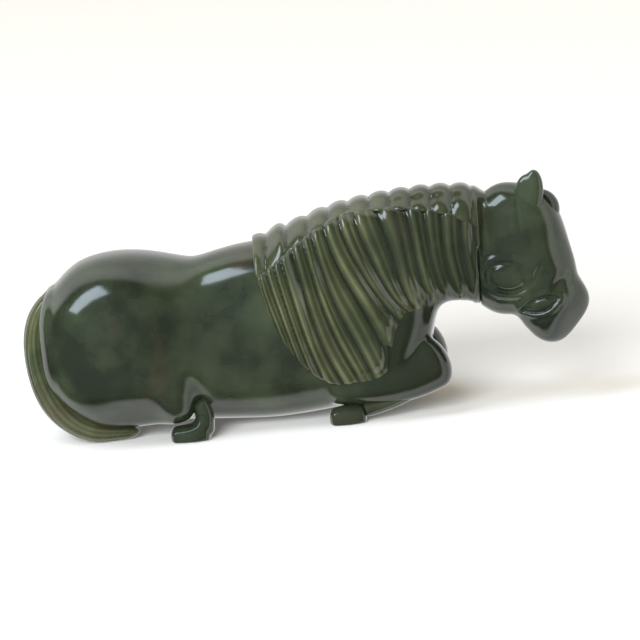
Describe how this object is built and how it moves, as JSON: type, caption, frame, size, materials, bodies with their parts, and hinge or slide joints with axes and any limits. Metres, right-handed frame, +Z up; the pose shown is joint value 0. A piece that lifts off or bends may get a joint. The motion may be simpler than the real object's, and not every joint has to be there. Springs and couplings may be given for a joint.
{
  "type": "jade horse figurine",
  "caption": "Carved green jade horse lying down with its legs folded, neck stretched forward and head hanging, resting on its hooves and tail.",
  "frame": {"origin": "on the ground under the middle of the figure's bounding box", "axes": "+X towards the head, -Y the horse's right side, +Z up"},
  "size_m": [0.1637, 0.0524, 0.0673],
  "materials": {
    "jade_body": "high polish, dark spinach green with darker mottling, slightly translucent at thin edges",
    "jade_mane": "satin to polished, lighter yellow-green, carved strands with duller grooves",
    "jade_hoof": "polished, dark green with shallow carved lines"
  },
  "bodies": {
    "root": {"torso": "jade_body", "neck": "jade_body", "head": "jade_body", "haunch_right": "jade_body", "haunch_left": "jade_body", "foreleg_right": "jade_body", "foreleg_left": "jade_body", "fore_cannon_right": "jade_body", "fore_cannon_left": "jade_body", "fore_hoof_right": "jade_hoof", "fore_hoof_left": "jade_hoof", "hind_hoof_right": "jade_hoof", "hind_hoof_left": "jade_hoof", "tail": "jade_mane", "ear_right": "jade_body", "ear_left": "jade_body", "mane_crest": "jade_mane", "forelock": "jade_mane", "mane_right": "jade_mane", "mane_left": "jade_mane"}
  },
  "joints": []
}
